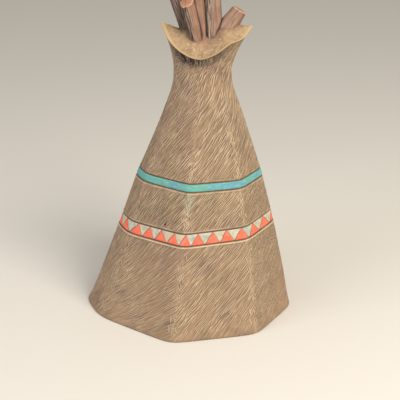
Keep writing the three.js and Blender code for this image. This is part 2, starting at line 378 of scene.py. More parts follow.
def hatch(points, level, side):
    # across = distance along the side less the strokes' travel, with a slow wander; onward = distance up the slope
    facing = facings[side]
    slope = 1.04 * np.abs(level)
    below = np.floor(slope).astype(int)
    travel = mix(leanTravel[side, below], leanTravel[side, below + 1], slope - below)
    shift = along(casting["shift"], np.clip(np.abs(level), 0, 141))
    across = (points[..., 0] - shift) * np.cos(facing) + points[..., 1] * np.sin(facing)
    wander = 1.2 * softNoise(points, 17, 9) + 0.4 * softNoise(points, 6, 10)
    return across - travel + 61 * side + wander, slope


def marks(turn, level, spots):
    # sum over the spots of exp(-(sideways / half width)^2 - (upward / half height)^2)
    total = np.zeros_like(turn)
    radius = along(casting["radius"], np.clip(level, 0, 141))
    for at, height, halfWidth, halfHeight in spots:
        sideways = wrapped(turn - np.radians(at)) * radius
        total += np.exp(-(sideways / halfWidth)**2 - ((level - height) / halfHeight)**2)
    return total


def cutShare(points, turn, level):
    # how thickly strokes are cut: none on the hem, beside the lines, in the dish or inside, few in smooth patches
    patch = softNoise(points, 15, 6) + 0.6 * softNoise(points, 6, 7) + 0.25 * smoothStep(level, 30, 80)
    hemTop = handwork["hem"] + 1.6 * softNoise(points, 12, 8)
    share = mix(0.45, 1, smoothStep(patch, -0.7, 0.15))
    share = share * (1 - 0.9 * marks(turn, level, handwork["smooths"])) + 0.4 * marks(turn, level, handwork["scuffs"])
    share = share * smoothStep(level, hemTop, hemTop + 3) * (1 - smoothStep(level, 165, 169))
    for low, high in (handwork["bandLines"], handwork["stripeLines"]):
        share = share * (1 - smoothStep(level, low - 1.6, low - 1) * smoothStep(-level, -high - 1.6, -high - 1))
    return np.clip(share, 0, 1.3)


def lineCuts(points, turn, level):
    # depth of the four lines, depth * exp(-(d / half width)^2), less the burr outside each and the proud stripe,
    # plus the zigzag between the triangles
    cut = np.zeros_like(level)
    uneven = 1 + 0.3 * softNoise(points, 7, 2)
    for order, line in enumerate(lines):
        d = level - line
        cut += handwork["lineDepth"] * uneven * np.exp(-(d / handwork["lineHalfWidth"])**2)
        outside = d * (1 if order % 2 else -1) - 0.95
        cut -= handwork["burr"] * uneven * (1 + 0.6 * softNoise(points, 3, 5)) * np.exp(-(outside / 0.4)**2)
    low, high = handwork["stripeLines"]
    proud = smoothStep(level, low + 0.3, low + 0.9) * smoothStep(-level, 0.3 - high, 0.9 - high)
    low, high = handwork["bandLines"]
    count = triangleCount(turn)
    rise = (level - low) / (high - low)
    away = (2.15 * np.abs(count - np.round(count)) + 1.075 * rise - 1.065) / 0.3  # in millimetres from the zigzag
    within = smoothStep(rise, 0, 0.08) * smoothStep(-rise, -1, -0.9)
    return cut - handwork["stripeProud"] * proud + handwork["zigzagDepth"] * within * np.exp(-(away / 0.28)**2)


def relief(grid, turn, level):
    # moves each point inwards along the surface's own direction by what is cut there, less what stands up
    share = cutShare(grid, turn, level)
    across, onward = hatch(grid, level, sideOf(turn, grid))
    groove, burr = strokes(across, onward, handwork["strokes"], share)
    onRidge = np.exp(-(besideRidge(turn, level) / 3)**2) * (level < 125)
    ridgeGroove, ridgeBurr = strokes(besideRidge(turn, level), level, handwork["ridgeStrokes"], share * onRidge)
    onBody = 1 - smoothStep(level, 165, 169)
    cut = handwork["strokeDepth"] * np.maximum(groove, ridgeGroove)
    cut -= handwork["strokeBurr"] * np.maximum(burr, ridgeBurr)
    wander = handwork["wander"] * (0.5 + 0.5 * softNoise(grid, 21, 1)) * smoothStep(level, 2, 9)
    cut = (cut + wander) * onBody + lineCuts(grid, turn, level)
    cut += 0.5 * marks(turn, level, [(*handwork["pit"], 0.5, 0.8)])
    return grid - ringNormals(grid) * cut[..., None]


outerMoved = relief(outerGrid, outerTurn, outerLevel)
upperMoved = relief(upperGrid, upperTurn, upperLevel)

# Five lodge pole stubs. Round the pole 0 faces the viewer and 90 is its right-hand side; each value is given at
# some of those degrees: the darkening = dark brown wash together with painted shade on the pole's shaded sides,
# grey = pale grey wipe, bark = depth of the furrows.
poles = {
    "poleLeft": {
        "foot": (6, 2, 148), "end": (-8.4, 3, 187), "radii": (5.2, 4.3), "slant": (-0.15, 0.1),
        "stain": ((-90, 0.85), (-40, 0.7), (0, 0.85), (90, 1), (180, 0.6)),
        "grey": ((-90, 0.3), (-30, 0.7), (20, 0.4), (90, 0), (180, 0.4)),
        "bark": ((-90, 0.8), (0, 1), (90, 0.6), (180, 0.9)),
    },
    "poleFrontStub": {
        "foot": (6.8, -1.8, 148), "end": (-0.7, -9.5, 179.4), "radii": (3.8, 3.7), "slant": (0.1, 0.35),
        "stain": ((-90, 0.95), (-35, 1), (-12, 0.7), (5, 0.1), (60, 0), (90, 0.4), (180, 0.7)),
        "grey": ((-90, 0.2), (-30, 0.3), (-10, 0.8), (5, 0.1), (90, 0), (180, 0.2)),
        "bark": ((-90, 0.9), (-10, 1), (10, 0.3), (90, 0.2), (180, 0.6)),
    },
    "poleMiddle": {
        "foot": (8.6, -3, 148), "end": (4.3, -1, 184), "radii": (4.2, 4), "slant": (0.2, 0.1),
        "stain": ((-90, 0.3), (-50, 0.1), (30, 0.05), (60, 0.5), (90, 0.9), (180, 0.5)),
        "grey": ((-90, 0), (0, 0), (90, 0), (180, 0.3)),
        "bark": ((-90, 0.3), (0, 0.15), (90, 0.4), (180, 0.7)),
    },
    "poleTall": {
        "foot": (13.9, -2, 148), "end": (12.5, 0.5, 190), "radii": (5, 4.5), "slant": (0.2, 0),
        "stain": ((-90, 0.9), (-60, 0.5), (-35, 0.1), (60, 0.1), (80, 0.5), (100, 0.7), (180, 0.4)),
        "grey": ((-90, 0.3), (-50, 0.9), (-5, 0.9), (15, 0.2), (90, 0.1), (180, 0.4)),
        "bark": ((-90, 0.8), (-40, 1), (0, 0.9), (25, 0.4), (90, 0.4), (180, 0.8)),
    },
    "poleRight": {
        "foot": (11.8, -0.5, 150), "end": (27.9, 0.5, 173.3), "radii": (7.6, 3.9), "slant": (0.05, 0),
        "stain": ((-90, 0.1), (0, 0.15), (50, 0.35), (90, 0.6), (180, 0.3)),
        "grey": ((-90, 0.1), (0, 0.3), (90, 0.1), (180, 0.3)),
        "bark": ((-90, 0.3), (0, 0.4), (90, 0.4), (180, 0.7)),
    },
}
barkStrokes = ((1.15, 16, 0, 0.9, 0), (0.9, 9, 0, 0.5, 40))  # the lanes run up the pole


def poleFrame(pole):
    # axis from foot to cut end, with a sideways and a backward direction square to it
    foot, end = np.array(pole["foot"], float), np.array(pole["end"], float)
    length = np.linalg.norm(end - foot)
    axis = (end - foot) / length
    sideways = np.array([1, 0, 0]) - axis[0] * axis
    sideways = sideways / np.linalg.norm(sideways)
    return foot, axis, length, sideways, np.cross(axis, sideways)


def gapTo(points, pole):
    # distance from a pole's bark: distance from its axis less its radius there
    foot, axis, length, _, _ = poleFrame(pole)
    on = np.clip((points - foot) @ axis, 0, length)
    away = np.linalg.norm(points - foot - on[..., None] * axis, axis=-1)
    return away - mix(*pole["radii"], on / length)


# the dish's clay is rough, and climbs a little onto the poles
nearest = np.min([gapTo(upperMoved, pole) for pole in poles.values()], axis=0)
onDish = smoothStep(upperLevel, 181, 184)
nearPole = onDish * np.exp(-np.clip(nearest, 0, None) / 1.2)
rough = 0.2 * softNoise(upperMoved, 1.8, 12) + 0.3 * softNoise(upperMoved, 5, 13)
upperMoved[..., 2] += onDish * (0.9 * nearPole + rough * (1 - nearPole))


def stain(turn, level):
    # dark wash run under the lip together with painted shadow of the lip's overhang, deepest at the front left: a soft
    # patch below the lip's lowest stretch
    front = np.exp(-((wrapped(turn) + 0.55) / 0.5)**2) + 0.5 * np.exp(-((wrapped(turn) - 0.3) / 0.35)**2)
    return smoothStep(level, 146, 160) * (1 - smoothStep(level, 168, 170)) * np.clip(front, 0, 1)


def smear(turn, level):
    # turquoise that ran below the stripe on the front ridge, and a dab beside it
    run = np.exp(-((wrapped(turn) + 0.16) / 0.06)**2) * smoothStep(level, 66, 77) * (1 - smoothStep(level, 79, 79.6))
    dab = np.exp(-((wrapped(turn) + 0.59) / 0.035)**2 - ((level - 78.4) / 1)**2)
    return np.clip(0.6 * run + 0.9 * dab, 0, 1)


# every point of the casting in order: top of the hollow, hollow, outside, upper part, middle of the dish
crown = np.array([along(casting["shift"], casting["cavityTop"]), 0, casting["cavityTop"]])
allBase = np.concatenate([[crown], cavityGrid.reshape(-1, 3), outerGrid.reshape(-1, 3),
                          upperGrid.reshape(-1, 3), [upperGrid[-1].mean(0)]])
allMoved = np.concatenate([[crown], cavityGrid.reshape(-1, 3), outerMoved.reshape(-1, 3),
                           upperMoved.reshape(-1, 3), [upperMoved[-1].mean(0)]])
allTurn = np.concatenate([[0], cavityTurn.ravel(), outerTurn.ravel(), upperTurn.ravel(), [0]])
allLevel = np.concatenate([[-118], cavityLevel.ravel(), outerLevel.ravel(), upperLevel.ravel(), [200]])

cavityStart = 1
outerStart = cavityStart + cavityTurn.size
upperStart = outerStart + outerTurn.size
lastPoint = upperStart + upperTurn.size
quads = np.concatenate([
    gridFaces(cavityStart, len(cavityHeights), half),
    gridFaces(outerStart, len(outerHeights), full),
    gridFaces(upperStart, len(upperLevels), half)])
triangles = np.concatenate([
    capFaces(0, cavityStart, half, False),
    joinFaces(outerStart - half, half, outerStart, full),
    joinFaces(upperStart - full, full, upperStart, half),
    capFaces(lastPoint, lastPoint - half, half, True)])
teepee = makeMesh("teepeeCasting", allMoved, quads, triangles)

# two maps per face corner: paint (triangle count, level) and hatch (across and onward), both in centimetres
corners = np.concatenate([quads.ravel(), triangles.ravel()])
firsts = np.concatenate([np.repeat(quads[:, 0], 4), np.repeat(triangles[:, 0], 3)])
firstCount, cornerCount = triangleCount(allTurn[firsts]), triangleCount(allTurn[corners])
cornerCount = cornerCount + countAll * np.round((firstCount - cornerCount) / countAll)
addMap(teepee, "paint", cornerCount, allLevel[corners] / 10)
across, onward = hatch(allBase[corners], allLevel[corners], sideOf(allTurn, allBase)[firsts])
addMap(teepee, "hatch", across / 10, onward / 10)
climbOn = np.zeros(len(allTurn))
climbOn[upperStart:lastPoint] = nearPole.ravel()
addValues(teepee, {
    "cutting": cutShare(allBase, allTurn, allLevel) * (allLevel > 0), "besideRidge": besideRidge(allTurn, allLevel),
    "scuffed": marks(allTurn, allLevel, handwork["scuffs"]), "nearPole": climbOn,
    "stain": stain(allTurn, allLevel), "smear": smear(allTurn, allLevel)})


def polePiece(name, pole, order):
    # rings round the axis: radius * (1 + slow waves) - furrows, then the slanting cut face closed ring by ring
    foot, axis, length, sideways, behind = poleFrame(pole)
    count = 96
    shares = np.concatenate([np.linspace(0, 1 - 0.7 / length, 56), [1 - 0.35 / length, 1 - 0.08 / length], np.ones(5)])
    insets = np.concatenate([np.zeros(56), [0.12, 0.4, 0.75, 1.3, 2.0, 2.7, 3.3]])
    turn = np.linspace(-np.pi, np.pi, count, endpoint=False)  # starts and ends behind
    share, turn = np.meshgrid(shares, turn, indexing="ij")
    inset = insets[:, None] + 0 * share
    value = {key: np.interp(np.degrees(turn), *np.array(pole[key]).T, period=360) for key in ("stain", "grey", "bark")}
    lane = barkStrokes[0][0]
    laneCount = round(np.pi * sum(pole["radii"]) / lane)
    around = (turn + np.pi) / (2 * np.pi) * laneCount * lane + 60 * order
    onSide = 1 - smoothStep(inset, 0.3, 1.2)
    footBlend = 1 - smoothStep(share * length, 7, 13)
    groove, burr = strokes(around, share * length, barkStrokes, value["bark"] * (1 - 0.6 * footBlend))
    bark = 1
    for waves, depth in ((3, 0.03), (5, 0.045), (9, 0.03)):
        bark = bark + depth * np.cos(waves * (turn - np.pi / 2 + order) + 1.2 * np.sin(2.2 * share + waves) - 1.2)
    radius = mix(*pole["radii"], share) * bark - inset - (0.35 * groove - 0.15 * burr) * onSide * value["bark"]
    x, y = radius * np.sin(turn), -radius * np.cos(turn)
    slant = share**4 * (pole["slant"][0] * x + pole["slant"][1] * y)
    points = foot + (share * length + slant)[..., None] * axis + x[..., None] * sideways + y[..., None] * behind
    # painted shade where one pole's bark comes close to another's, darker the nearer it is
    others = [gapTo(points, other) for key, other in poles.items() if key != name]
    crevice = np.exp(-(np.clip(np.min(others, axis=0), 0, None) / 0.8)**2) * onSide
    rows = len(shares)
    points = np.concatenate([points.reshape(-1, 3), [foot], [points[-1].mean(0)]])
    quads = gridFaces(0, rows, count)
    caps = np.concatenate([capFaces(rows * count, 0, count, False),
                           capFaces(rows * count + 1, (rows - 1) * count, count, True)])
    piece = makeMesh(name, points, quads, caps)
    corners = np.concatenate([quads.ravel(), caps.ravel()])
    firsts = np.concatenate([np.repeat(quads[:, 0], 4), np.repeat(caps[:, 0], 3)])
    allAround = np.concatenate([around.ravel(), [0, 0]])
    ringLength = laneCount * lane
    near = allAround[corners] + ringLength * np.round((allAround[firsts] - allAround[corners]) / ringLength)
    allUp = np.concatenate([(share * length).ravel(), [0, length]])
    addMap(piece, "grain", near / 10, allUp[corners] / 10)
    fields = {"crevice": crevice, "cutFace": smoothStep(inset, 0.3, 0.8), "cutEdge": smoothStep(inset, 0, 0.12),
              "footBlend": footBlend, **value}
    addValues(piece, {key: np.concatenate([np.ravel(field), [0, key == "cutFace"]]) for key, field in fields.items()})
    return piece


print("working out the poles")
polePieces = [polePiece(name, pole, order) for order, (name, pole) in enumerate(poles.items())]


def linear(colour):
    # sRGB hex to linear light: ((c + 0.055) / 1.055)^2.4, or c / 12.92 near black
    parts = np.array([int(colour[i:i + 2], 16) for i in (1, 3, 5)]) / 255
    parts = np.where(parts <= 0.04045, parts / 12.92, ((parts + 0.055) / 1.055)**2.4)
    return (*parts.tolist(), 1)


def addNode(tree, name, kind, inputs=(), settings={}):
    # A node of that kind, which may be followed by its operation. An input is a number, a hex colour, or the name
    # of the node that feeds it and of its output, as in "split.Y".
    kind, _, operation = kind.partition(" ")
    node = tree.nodes.new("ShaderNode" + kind)
    node.name = name
    for key, value in {**settings, **({"operation": operation} if operation else {})}.items():
        setattr(node, key, value)
    for key, value in (inputs if isinstance(inputs, dict) else dict(enumerate(inputs))).items():
        if not isinstance(value, str):
            node.inputs[key].default_value = value
        elif value[0] == "#":
            node.inputs[key].default_value = linear(value)
        else:
            feeder, _, output = value.partition(".")
            outputs = [out for out in tree.nodes[feeder].outputs if out.enabled and output in ("", out.name)]
            tree.links.new(outputs[0], node.inputs[key])


def newMaterial(name):
    material = bpy.data.materials.new(name)
    material.use_nodes = True
    material.node_tree.nodes.clear()
    return material, material.node_tree


def strokeNodes(tree, tag, across, onward, layers, share):
    # the same lanes, cells and strokes as strokes() cuts, worked out again at every point of the surface
    light, dark = 0.0, 0.0
    for order, (lane, length, skew, chance, start) in enumerate(layers):
        n = f"{tag}{order}"
        rows = [
            (f"{n}turned", "MULTIPLY_ADD", onward, skew, across),
            (f"{n}at", "MULTIPLY_ADD", f"{n}turned", 1 / lane, start),
            (f"{n}lane", "FLOOR", f"{n}at"),
        ]
        for name, operation, *values in rows:
            addNode(tree, name, f"Math {operation}", values)
        addNode(tree, f"{n}start", "TexWhiteNoise", {"W": f"{n}lane"}, {"noise_dimensions": "1D"})
        addNode(tree, f"{n}run", "Math MULTIPLY_ADD", (onward, 1 / length, f"{n}start.Value"))
        addNode(tree, f"{n}cell", "Math FLOOR", (f"{n}run",))
        addNode(tree, f"{n}key", "CombineXYZ", (f"{n}lane", f"{n}cell"))
        addNode(tree, f"{n}noise", "TexWhiteNoise", {"Vector": f"{n}key"}, {"noise_dimensions": "2D"})
        addNode(tree, f"{n}drawn", "SeparateColor", (f"{n}noise.Color",))
        rows = [
            (f"{n}inCell", "SUBTRACT", f"{n}run", f"{n}cell"),
            (f"{n}centred", "SUBTRACT", f"{n}inCell", 0.5),
            (f"{n}half", "MULTIPLY_ADD", f"{n}drawn.Green", 0.24, 0.24),
            (f"{n}t", "DIVIDE", f"{n}centred", f"{n}half"),
            (f"{n}square", "MULTIPLY", f"{n}t", f"{n}t"),
            (f"{n}taper", "SUBTRACT", 1.0, f"{n}square"),
            (f"{n}inLane", "SUBTRACT", f"{n}at", f"{n}lane"),
            (f"{n}middle", "MULTIPLY_ADD", f"{n}drawn.Red", 0.26, 0.44),
            (f"{n}off", "SUBTRACT", f"{n}inLane", f"{n}middle"),
            (f"{n}d", "MULTIPLY", f"{n}off", lane),
            (f"{n}away", "ABSOLUTE", f"{n}d"),
            (f"{n}beside", "ADD", f"{n}d", 0.5),
            (f"{n}besideAway", "ABSOLUTE", f"{n}beside"),
            (f"{n}odds", "MULTIPLY", share, chance),
            (f"{n}lead", "SUBTRACT", f"{n}odds", f"{n}drawn.Blue"),
            (f"{n}chosen", "MULTIPLY", f"{n}lead", 6.0),
        ]
        for name, operation, *values in rows:
            addNode(tree, name, f"Math {operation}", values)
        smooth = {"interpolation_type": "SMOOTHSTEP"}
        addNode(tree, f"{n}bump", "MapRange", (f"{n}away", 0.42, 0.08, 0, 1), smooth)
        addNode(tree, f"{n}trench", "MapRange", (f"{n}besideAway", 0.42, 0.08, 0, 1), smooth)
        addNode(tree, f"{n}taperOn", "Math MAXIMUM", (f"{n}taper", 0.0))
        addNode(tree, f"{n}chosenOn", "Math MINIMUM", (f"{n}chosen", 1.0))
        addNode(tree, f"{n}chance", "Math MAXIMUM", (f"{n}chosenOn", 0.0))
        addNode(tree, f"{n}force", "Math MULTIPLY", (f"{n}taperOn", f"{n}chance"))
        addNode(tree, f"{n}pale", "Math MULTIPLY", (f"{n}force", f"{n}bump"))
        addNode(tree, f"{n}deep", "Math MULTIPLY", (f"{n}force", f"{n}trench"))
        addNode(tree, f"{n}light", "Math MAXIMUM", (f"{n}pale", light))
        addNode(tree, f"{n}dark", "Math MAXIMUM", (f"{n}deep", dark))
        light, dark = f"{n}light", f"{n}dark"
    return light, dark


def addCoats(tree, ground, coats):
    # lays each colour over the last by its share, and returns the name of the topmost
    for order, (share, colour) in enumerate(coats):
        addNode(tree, f"coat{ground}{order}", "Mix", {0: share, 6: ground if not order else below, 7: colour},
                {"data_type": "RGBA"})
        below = f"coat{ground}{order}"
    return below


clayLook = {
    "ground": "#7b6550", "groundPale": "#967d64", "lowWarm": "#9c8066", "mauve": "#796257", "olive": "#76674b",
    "strokePale": "#cdb595", "strokeDark": "#574433", "worn": "#b09a7c",
    "coral": "#e4684c", "coralPink": "#e57a66", "coralDeep": "#c95c40",
    "cream": "#bdb9a6", "creamGrey": "#99a090", "creamWarm": "#c3b08e",
    "turquoise": "#5fa095", "turquoiseBlue": "#5b96a4", "turquoisePale": "#86b3a2", "turquoiseGrey": "#6d8580",
    # underLip is near-black painted shade: the lip's shadow and the inside of the pit
    "line": "#4f3b2f", "underLip": "#2e2326", "bare": "#a98b70",
    "dish": "#8c7355", "dishPale": "#ad9272", "rim": "#b39a72", "reddish": "#7a5a49",
}


def clayMaterial():
    # Fired earthenware, stained brown, wiped and painted by hand: matt, with pale scratch edges over a dark ground
    material, tree = newMaterial("stainedEarthenware")
    look = clayLook
    for name in ("cutting", "besideRidge", "scuffed", "nearPole", "stain", "smear"):
        addNode(tree, name, "Attribute", (), {"attribute_name": name})
    bandLow, bandHigh = handwork["bandLines"]
    stripeLow, stripeHigh = handwork["stripeLines"]
    pitCount = float(triangleCount(np.radians(handwork["pit"][:1]))[0])
    flat = {"noise_dimensions": "2D"}
    rows = [
        ("place", "TexCoord"),
        ("paint", "UVMap", (), {"uv_map": "paint"}),
        ("split", "SeparateXYZ", ("paint",)),
        ("level", "Math MULTIPLY", ("split.Y", 10)),
        ("hatch", "UVMap", (), {"uv_map": "hatch"}),
        ("hatchSplit", "SeparateXYZ", ("hatch",)),
        ("across", "Math MULTIPLY", ("hatchSplit.X", 10)),
        ("onward", "Math MULTIPLY", ("hatchSplit.Y", 10)),
        # patches of about 20 mm, tints of about 12 mm, mottle of about 3 mm, and brushing along the strokes
        ("patches", "TexNoise", {"Vector": "place.Object", "Scale": 45, "Detail": 3, "Roughness": 0.6}),
        ("tints", "TexNoise", {"Vector": "place.Object", "Scale": 80, "Detail": 2}),
        ("tint", "SeparateColor", ("tints.Color",)),
        ("mottle", "TexNoise", {"Vector": "place.Object", "Scale": 330, "Detail": 4, "Roughness": 0.65}),
        ("brushMap", "Mapping", {"Vector": "hatch", "Scale": (13, 1.3, 1)}),
        ("brushed", "TexNoise", {"Vector": "brushMap", "Scale": 1, "Detail": 2, "Roughness": 0.6}, flat),
        ("blotch", "TexNoise", {"Vector": "place.Object", "Scale": 260, "Detail": 1}),
        ("blots", "SeparateColor", ("blotch.Color",)),
        ("grain", "TexNoise", {"Vector": "place.Object", "Scale": 1500, "Detail": 3, "Roughness": 0.6}),
        ("mottled", "MapRange", ("mottle", 0.35, 0.65)),
        ("patched", "MapRange", ("patches", 0.38, 0.62)),
        ("uneven", "Math MULTIPLY_ADD", ("patched", 0.5, 0.0)),
        ("palePart", "Math MULTIPLY_ADD", ("mottled", 0.5, "uneven")),
        ("lowPart", "MapRange", ("level", 62, 10, 0, 0.75)),
        ("mauvePart", "MapRange", ("tint.Red", 0.53, 0.66, 0, 0.6)),
        ("olivePart", "MapRange", ("tint.Green", 0.52, 0.66, 0, 0.5)),
        ("brushPale", "MapRange", ("brushed", 0.52, 0.72, 0, 0.4)),
        ("brushDark", "MapRange", ("brushed", 0.48, 0.3, 0, 0.35)),
        # ridges rubbed pale in short vertical strokes
        ("ridgeAway", "Math ABSOLUTE", ("besideRidge.Fac",)),
        ("ridgeNear", "MapRange", ("ridgeAway", 4.2, 0.6, 0, 1)),
        ("ridgeLow", "MapRange", ("level", 128, 112, 0, 1)),
        ("ridgeOn", "Math MULTIPLY", ("ridgeNear", "ridgeLow")),
        ("ridgeShare", "Math MULTIPLY", ("ridgeOn", "cutting.Fac")),
        ("rubNear", "MapRange", ("ridgeAway", 2.2, 0.2, 0, 1)),
        ("rubOn", "Math MULTIPLY", ("rubNear", "ridgeLow")),
        ("rubRough", "Math MULTIPLY", ("rubOn", "tint.Blue")),
        ("rubbed", "MapRange", ("rubRough", 0.32, 0.62, 0, 0.45)),
    ]
    for row in rows:
        addNode(tree, *row)
    light, dark = strokeNodes(tree, "cut", "across", "onward", handwork["strokes"], "cutting.Fac")
    ridgeLight, ridgeDark = strokeNodes(tree, "rub", "besideRidge.Fac", "level", handwork["ridgeStrokes"], "ridgeShare")
    rows = [
        # the pale strokes are worn clay together with painted highlight on the burrs, the dark strokes dark wash
        # together with painted shade in the grooves
        ("lightAny", "Math MAXIMUM", (light, ridgeLight)),
        ("darkAny", "Math MAXIMUM", (dark, ridgeDark)),
        ("lightHere", "Math MULTIPLY_ADD", ("scuffed.Fac", 0.25, 0.72)),
        ("lightPart", "Math MULTIPLY", ("lightAny", "lightHere")),
        ("darkPart", "Math MULTIPLY", ("darkAny", 0.55)),
        # triangle band: zigzag = 2.15 * fold + 1.075 * rise - 1.065, coral below 0 and cream above it
        ("bentCount", "Math MULTIPLY_ADD", ("blots.Red", 0.14, "split.X")),
        ("count", "Math SUBTRACT", ("bentCount", 0.07)),
        ("apex", "Math ROUND", ("count",)),
        ("fromApex", "Math SUBTRACT", ("count", "apex")),
        ("fold", "Math ABSOLUTE", ("fromApex",)),
        ("rise", "MapRange", ("level", bandLow, bandHigh), {"clamp": False}),
        ("bentRise", "Math MULTIPLY_ADD", ("blots.Green", 0.14, "rise")),
        ("folded", "Math MULTIPLY_ADD", ("fold", 2.15, -1.14)),
        ("zigzag", "Math MULTIPLY_ADD", ("bentRise", 1.075, "folded")),
        ("isCream", "MapRange", ("zigzag", -0.03, 0.03)),
        ("fromLine", "Math ABSOLUTE", ("zigzag",)),
        ("leftEdge", "MapRange", ("fromApex", 0.1, -0.15, 0.45, 0.85)),
        ("outlined", "MapRange", ("fromLine", 0.1, 0.03)),
        ("outline", "Math MULTIPLY", ("outlined", "leftEdge")),
        ("paintTone", "TexNoise", {"Vector": "place.Object", "Scale": 420, "Detail": 2}),
        ("toneA", "MapRange", ("paintTone", 0.42, 0.64)),
        ("toneB", "MapRange", ("tint.Blue", 0.5, 0.66, 0, 0.8)),
        ("bandAbove", "MapRange", ("level", bandLow + 0.12, bandLow + 0.32)),
        ("bandBelow", "MapRange", ("level", bandHigh - 0.12, bandHigh - 0.32)),
        ("inBand", "Math MULTIPLY", ("bandAbove", "bandBelow")),
        ("stripeAbove", "MapRange", ("level", stripeLow + 0.12, stripeLow + 0.32)),
        ("stripeBelow", "MapRange", ("level", stripeHigh - 0.12, stripeHigh - 0.32)),
        ("inStripe", "Math MULTIPLY", ("stripeAbove", "stripeBelow")),
        # brush marks of about 0.5 mm by 6 mm that run along the stripe and the band
        ("alongMap", "Mapping", {"Vector": "paint", "Scale": (1.4, 20, 1)}),
        ("alongStripe", "TexNoise", {"Vector": "alongMap", "Scale": 1, "Detail": 3, "Roughness": 0.6}, flat),
        ("stripeBlue", "MapRange", ("tint.Green", 0.5, 0.62)),
        ("stripePale", "MapRange", ("alongStripe", 0.5, 0.68, 0, 0.8)),
        ("stripeGrey", "MapRange", ("blots.Blue", 0.62, 0.72, 0, 0.5)),
        ("smeared", "Math MULTIPLY", ("smear.Fac", "mottled")),
        # dark runs of about 0.8 mm that hang from the lip, breaking up the dark wash and painted shadow under it
        ("runMap", "Mapping", {"Vector": "paint", "Scale": (6, 0.9, 1)}),
        ("runs", "TexNoise", {"Vector": "runMap", "Scale": 1, "Detail": 2}, flat),
        ("runPart", "MapRange", ("runs", 0.35, 0.6, 0.35, 1.5)),
        ("stained", "Math MULTIPLY", ("stain.Fac", "runPart")),
        # a paler band along the top of the lip: painted highlight
        ("onRim", "MapRange", ("level", 167.6, 169.4)),
        ("onDish", "MapRange", ("level", 174, 182)),
        ("flecks", "TexNoise", {"Vector": "place.Object", "Scale": 700, "Detail": 2, "Roughness": 0.7}),
        ("fleckPart", "MapRange", ("flecks", 0.56, 0.66, 0, 0.7)),
        ("fleckWhere", "MapRange", ("tint.Red", 0.42, 0.56)),
        ("flecked", "Math MULTIPLY", ("fleckPart", "fleckWhere")),
        ("footStain", "Math MULTIPLY", ("nearPole.Fac", 0.8)),
        ("inside", "Math LESS_THAN", ("level", -0.2)),
        # pit: how far off it is, sideways and up, in pit widths
        ("pitAcross", "Math SUBTRACT", ("split.X", pitCount)),
        ("pitSide", "Math MULTIPLY", ("pitAcross", 13)),
        ("pitUp", "Math SUBTRACT", ("level", handwork["pit"][1])),
        ("pitAt", "CombineXYZ", ("pitSide", "pitUp")),
        ("pitAway", "VectorMath LENGTH", ("pitAt",)),
        # painted shade inside the pit
        ("pitDark", "MapRange", ("pitAway.Value", 1.2, 0.5, 0, 0.95)),
    ]
    for row in rows:
        addNode(tree, *row)
    coral = addCoats(tree, look["coral"], [("toneA", look["coralPink"])])
    cream = addCoats(tree, look["cream"], [("toneA", look["creamGrey"]), ("toneB", look["creamWarm"])])
    band = addCoats(tree, coral, [("isCream", cream), ("outline", look["line"])])
    stripe = addCoats(tree, look["turquoise"], [("stripeBlue", look["turquoiseBlue"]),
                                                ("stripePale", look["turquoisePale"]),
                                                ("stripeGrey", look["turquoiseGrey"])])
    dish = addCoats(tree, look["dish"], [("mottled", look["dishPale"]), ("flecked", look["strokePale"]),
                                         ("footStain", look["reddish"])])
    coats = [("palePart", look["groundPale"]), ("lowPart", look["lowWarm"]), ("mauvePart", look["mauve"]),
             ("olivePart", look["olive"]), ("brushDark", look["strokeDark"]), ("brushPale", look["strokePale"]),
             ("rubbed", look["worn"]), ("darkPart", look["strokeDark"]), ("lightPart", look["strokePale"]),
             ("smeared", look["turquoisePale"])]
    # the pale burr outside each line, broken where the noise is low, and the stain that fills the line itself
    for order, (line, strength) in enumerate(zip(lines, (1.1, 0.5, 0.6, 0.25))):
        rows = [
            (f"off{order}", "Math SUBTRACT", ("level", float(line))),
            (f"far{order}", "Math ABSOLUTE", (f"off{order}",)),
            (f"ink{order}", "MapRange", (f"far{order}", 0.42, 0.16, 0, 0.88)),
            (f"outside{order}", "Math SUBTRACT", (f"off{order}", 0.95 if order % 2 else -0.95)),
            (f"burrAway{order}", "Math ABSOLUTE", (f"outside{order}",)),
            (f"burrOn{order}", "MapRange", (f"burrAway{order}", 0.45, 0.12)),
            (f"broken{order}", "MapRange", ("blots.Blue", 0.35, 0.55, strength - 0.35, strength)),
            (f"burr{order}", "Math MULTIPLY", (f"burrOn{order}", f"broken{order}")),
        ]
        for row in rows:
            addNode(tree, *row)
        coats.append((f"burr{order}", look["strokePale"]))
    coats += [("inBand", band), ("inStripe", stripe)] + [(f"ink{order}", look["line"]) for order in range(4)]
    # under the lip: dark wash together with the lip's painted shadow; in the pit: painted shade
    coats += [("pitDark", look["underLip"]), ("stained", look["underLip"]), ("onRim", look["rim"]), ("onDish", dish),
              ("inside", look["bare"])]
    colour = addCoats(tree, look["ground"], coats)
    rows = [
        # relief too fine for the mesh: the strokes' edges, mottle and a clay grain of about 0.4 mm
        ("raised", "Math SUBTRACT", ("lightAny", "darkAny")),
        ("withGrain", "Math MULTIPLY_ADD", ("grain", 0.3, "raised")),
        ("height", "Math MULTIPLY_ADD", ("mottle", 0.5, "withGrain")),
        ("bump", "Bump", {"Height": "height", "Strength": 1, "Distance": 0.00013}),
        ("clay", "BsdfPrincipled", {"Base Color": colour, "Normal": "bump", "Roughness": 0.82, "IOR": 1.5,
                                    "Specular IOR Level": 0.35}),
        ("output", "OutputMaterial", {"Surface": "clay"}),
    ]
    for row in rows:
        addNode(tree, *row)
    return material


# the pole colours include painted shade: the darkening on shaded sides and in the crevices between poles
poleLook = {
    "bark": "#8d6854", "barkPale": "#9c7862", "greyWipe": "#8c7d70", "greyPale": "#ab9c8c", "furrow": "#48352f",
    "stain": "#3a2b2a", "crevice": "#2b1d20", "cut": "#a2745a", "cutEdge": "#b98e70", "foot": "#8f7059",
}


